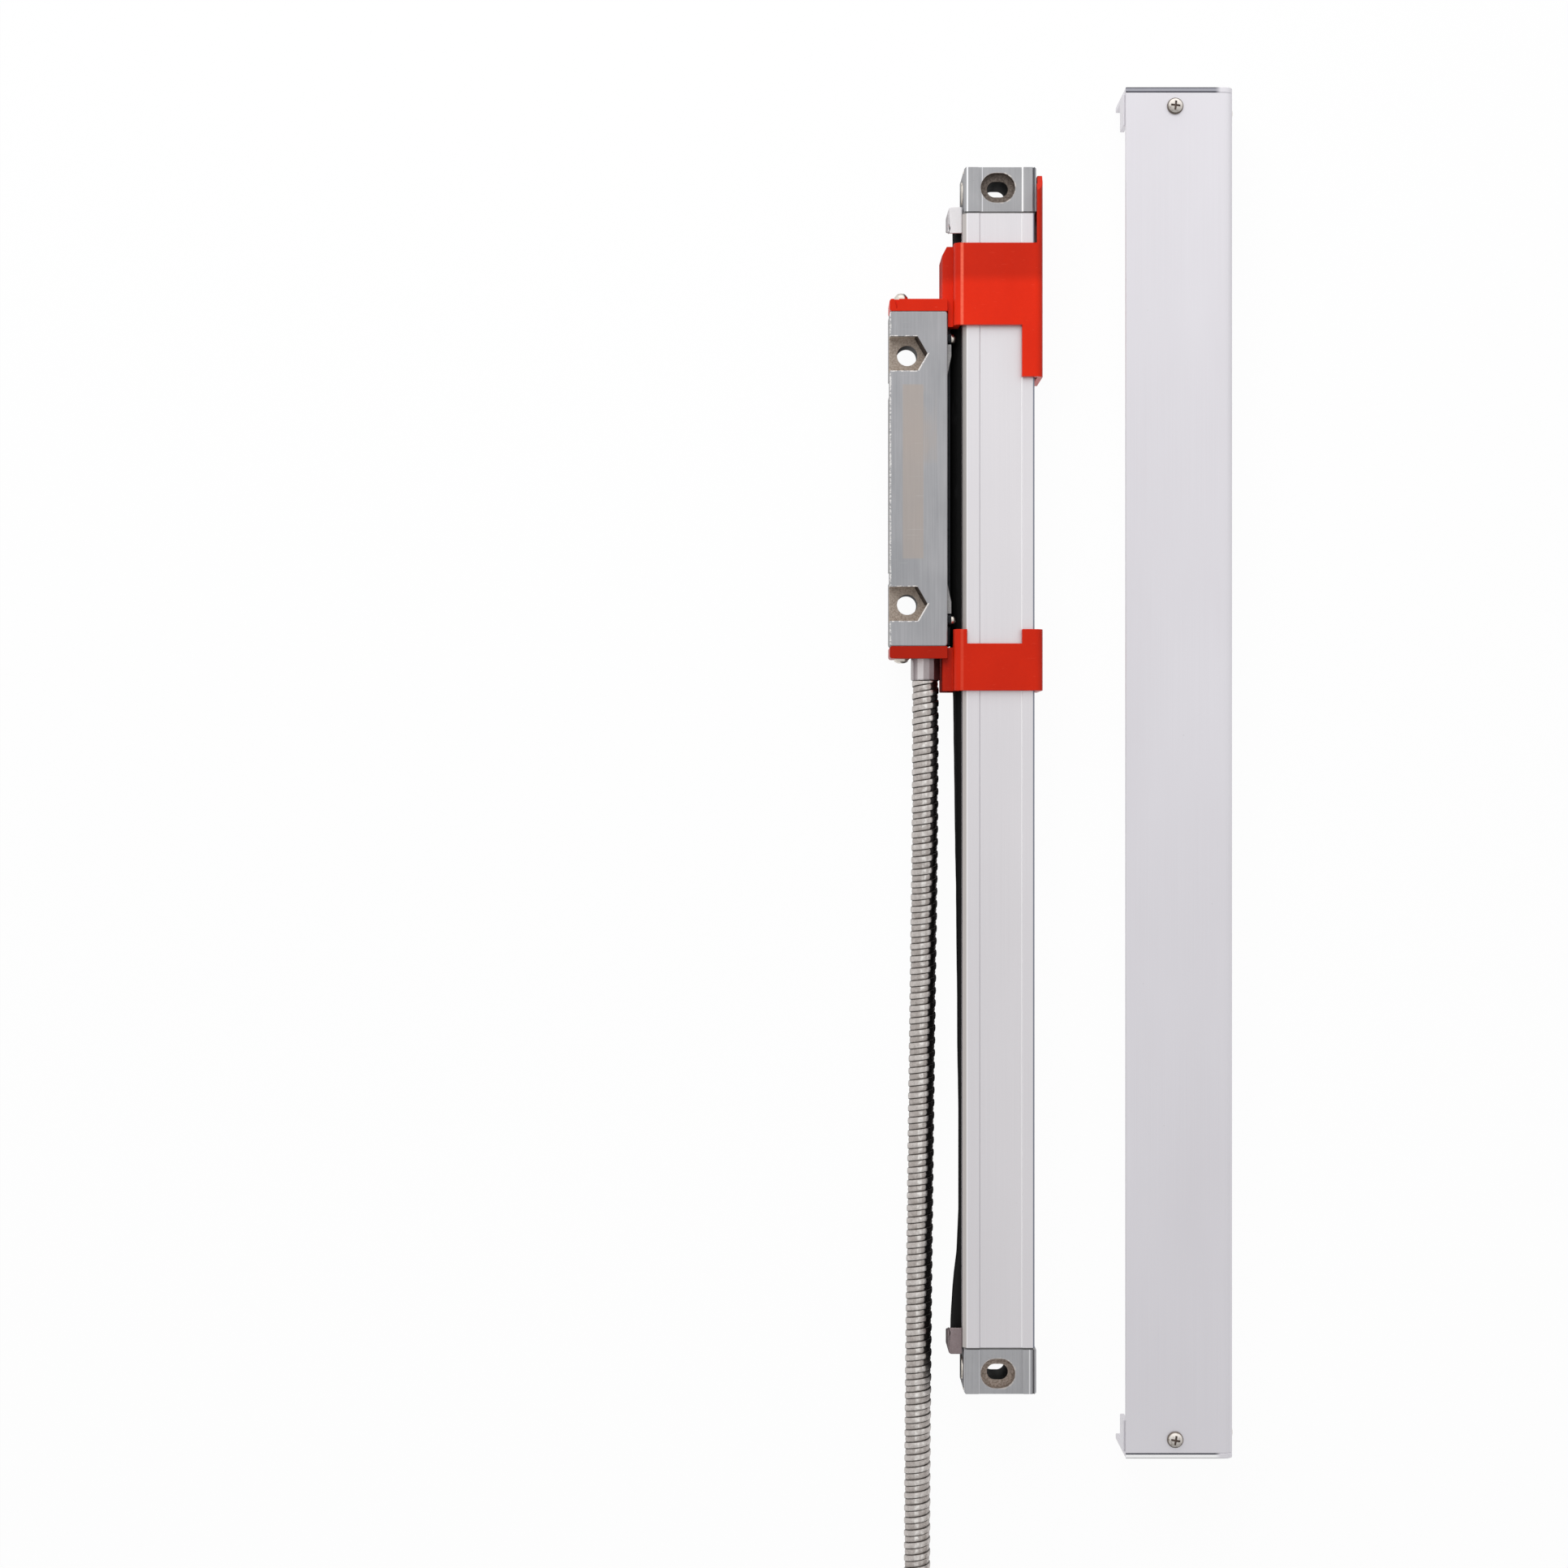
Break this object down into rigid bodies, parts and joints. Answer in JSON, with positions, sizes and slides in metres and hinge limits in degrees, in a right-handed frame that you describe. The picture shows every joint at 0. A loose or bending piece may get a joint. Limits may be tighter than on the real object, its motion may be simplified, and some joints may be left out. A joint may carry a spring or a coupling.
{
  "type": "linear glass scale",
  "caption": "Slim sealed linear glass scale with a sliding reading head, armoured cable, transport brackets and a separate cover.",
  "frame": {"origin": "middle of the body's mounting face, on the line through its two fixing slots", "axes": "+Y along the scale towards the end away from the cable, +X away from the reading head, +Z from the mounting face to the front"},
  "size_m": [0.1598, 0.5598, 0.0276],
  "materials": {
    "anodised_aluminium": "satin anodised",
    "cover_aluminium": "satin anodised",
    "cast_zinc": "fine machined casting",
    "rough_casting": "as cast",
    "optical_glass": "polished, with fine lines",
    "black_rubber": "matt",
    "nickel_screws": "nickel plated",
    "black_steel": "black oxide",
    "spring_steel": "bright",
    "bearing_steel": "ground",
    "carriage_plastic": "moulded",
    "circuit_board": "lacquered",
    "orange_plastic": "glossy moulded",
    "gland_metal": "dull",
    "cable_armour": "interlocked steel strip",
    "black_strap": "woven",
    "plug_plastic": "moulded",
    "plug_metal": "tin plated",
    "plug_insulator": "moulded"
  },
  "bodies": {
    "scale_body": {"housing_extrusion": "anodised_aluminium", "glass_scale": "optical_glass", "glass_seat_cord": "black_rubber", "front_sealing_lip": "black_rubber", "rear_sealing_lip": "black_rubber", "end_block_top": "cast_zinc", "end_gasket_top": "black_rubber", "end_screws_top": "nickel_screws", "seal_clamp_top": "rough_casting", "seal_clamp_screw_top": "nickel_screws", "air_plug_top": "nickel_screws", "end_block_bottom": "cast_zinc", "end_gasket_bottom": "black_rubber", "end_screws_bottom": "nickel_screws", "seal_clamp_bottom": "rough_casting", "seal_clamp_screw_bottom": "nickel_screws", "air_plug_bottom": "nickel_screws"},
    "reading_head": {"head_block": "cast_zinc", "head_cover": "black_steel", "head_cover_screws": "nickel_screws", "head_board": "circuit_board", "carriage_arm": "black_steel", "arm_screws": "nickel_screws", "carriage_frame": "carriage_plastic", "bearing_pins": "nickel_screws", "led_board": "circuit_board", "sensor_board": "circuit_board", "index_grating": "optical_glass", "preload_spring": "spring_steel", "bracket_top": "orange_plastic", "bracket_bottom": "orange_plastic", "bracket_screw_top": "nickel_screws", "bracket_screw_bottom": "nickel_screws", "cable_gland": "gland_metal", "cable_run": "cable_armour", "cable_coil": "cable_armour", "cable_tail": "cable_armour", "coil_tie": "black_strap", "plug_boot": "plug_plastic", "plug_hood": "plug_plastic", "plug_shell": "plug_metal", "plug_insert": "plug_insulator"},
    "face_bearing_1": {"face_bearing_1": "bearing_steel"},
    "face_bearing_2": {"face_bearing_2": "bearing_steel"},
    "face_bearing_3": {"face_bearing_3": "bearing_steel"},
    "edge_bearing_1": {"edge_bearing_1": "bearing_steel"},
    "edge_bearing_2": {"edge_bearing_2": "bearing_steel"},
    "thumbscrew_left": {"plug_thumbscrew_left": "nickel_screws"},
    "thumbscrew_right": {"plug_thumbscrew_right": "nickel_screws"},
    "cover": {"cover_extrusion": "cover_aluminium", "cover_cap_top": "cover_aluminium", "cover_cap_bottom": "cover_aluminium", "cover_front_screws": "nickel_screws", "cover_side_screws": "nickel_screws"}
  },
  "joints": [
    {"name": "head_slide", "type": "slide", "parent": "scale_body", "child": "reading_head", "axis": [0, 1, 0], "range_m": [-0.186, 0.003]},
    {"name": "face_bearing_1_roll", "type": "hinge", "parent": "reading_head", "child": "face_bearing_1", "pos_m": [-0.0016, 0.11065, 0.00995], "axis": [1, 0, 0], "continuous": true},
    {"name": "face_bearing_2_roll", "type": "hinge", "parent": "reading_head", "child": "face_bearing_2", "pos_m": [0.0032, 0.11065, 0.00995], "axis": [1, 0, 0], "continuous": true},
    {"name": "face_bearing_3_roll", "type": "hinge", "parent": "reading_head", "child": "face_bearing_3", "pos_m": [0.0008, 0.06665, 0.00995], "axis": [1, 0, 0], "continuous": true},
    {"name": "edge_bearing_1_roll", "type": "hinge", "parent": "reading_head", "child": "edge_bearing_1", "pos_m": [-0.00565, 0.11065, 0.014], "axis": [0, 0, 1], "continuous": true},
    {"name": "edge_bearing_2_roll", "type": "hinge", "parent": "reading_head", "child": "edge_bearing_2", "pos_m": [-0.00565, 0.06665, 0.014], "axis": [0, 0, 1], "continuous": true},
    {"name": "thumbscrew_left_turn", "type": "hinge", "parent": "reading_head", "child": "thumbscrew_left", "pos_m": [0.10005, -0.2694, 0.0078], "axis": [0, 1, 0], "continuous": true},
    {"name": "thumbscrew_right_turn", "type": "hinge", "parent": "reading_head", "child": "thumbscrew_right", "pos_m": [0.12505, -0.2694, 0.0078], "axis": [0, 1, 0], "continuous": true},
    {"name": "cover_lift", "type": "slide", "parent": "scale_body", "child": "cover", "axis": [0, 0, 1], "range_m": [0, 0.12]}
  ],
  "couplings": [
    {"joint": "face_bearing_1_roll", "follows": "head_slide", "rad_per_m": 400},
    {"joint": "face_bearing_2_roll", "follows": "head_slide", "rad_per_m": 400},
    {"joint": "face_bearing_3_roll", "follows": "head_slide", "rad_per_m": 400},
    {"joint": "edge_bearing_1_roll", "follows": "head_slide", "rad_per_m": -500},
    {"joint": "edge_bearing_2_roll", "follows": "head_slide", "rad_per_m": -500}
  ]
}
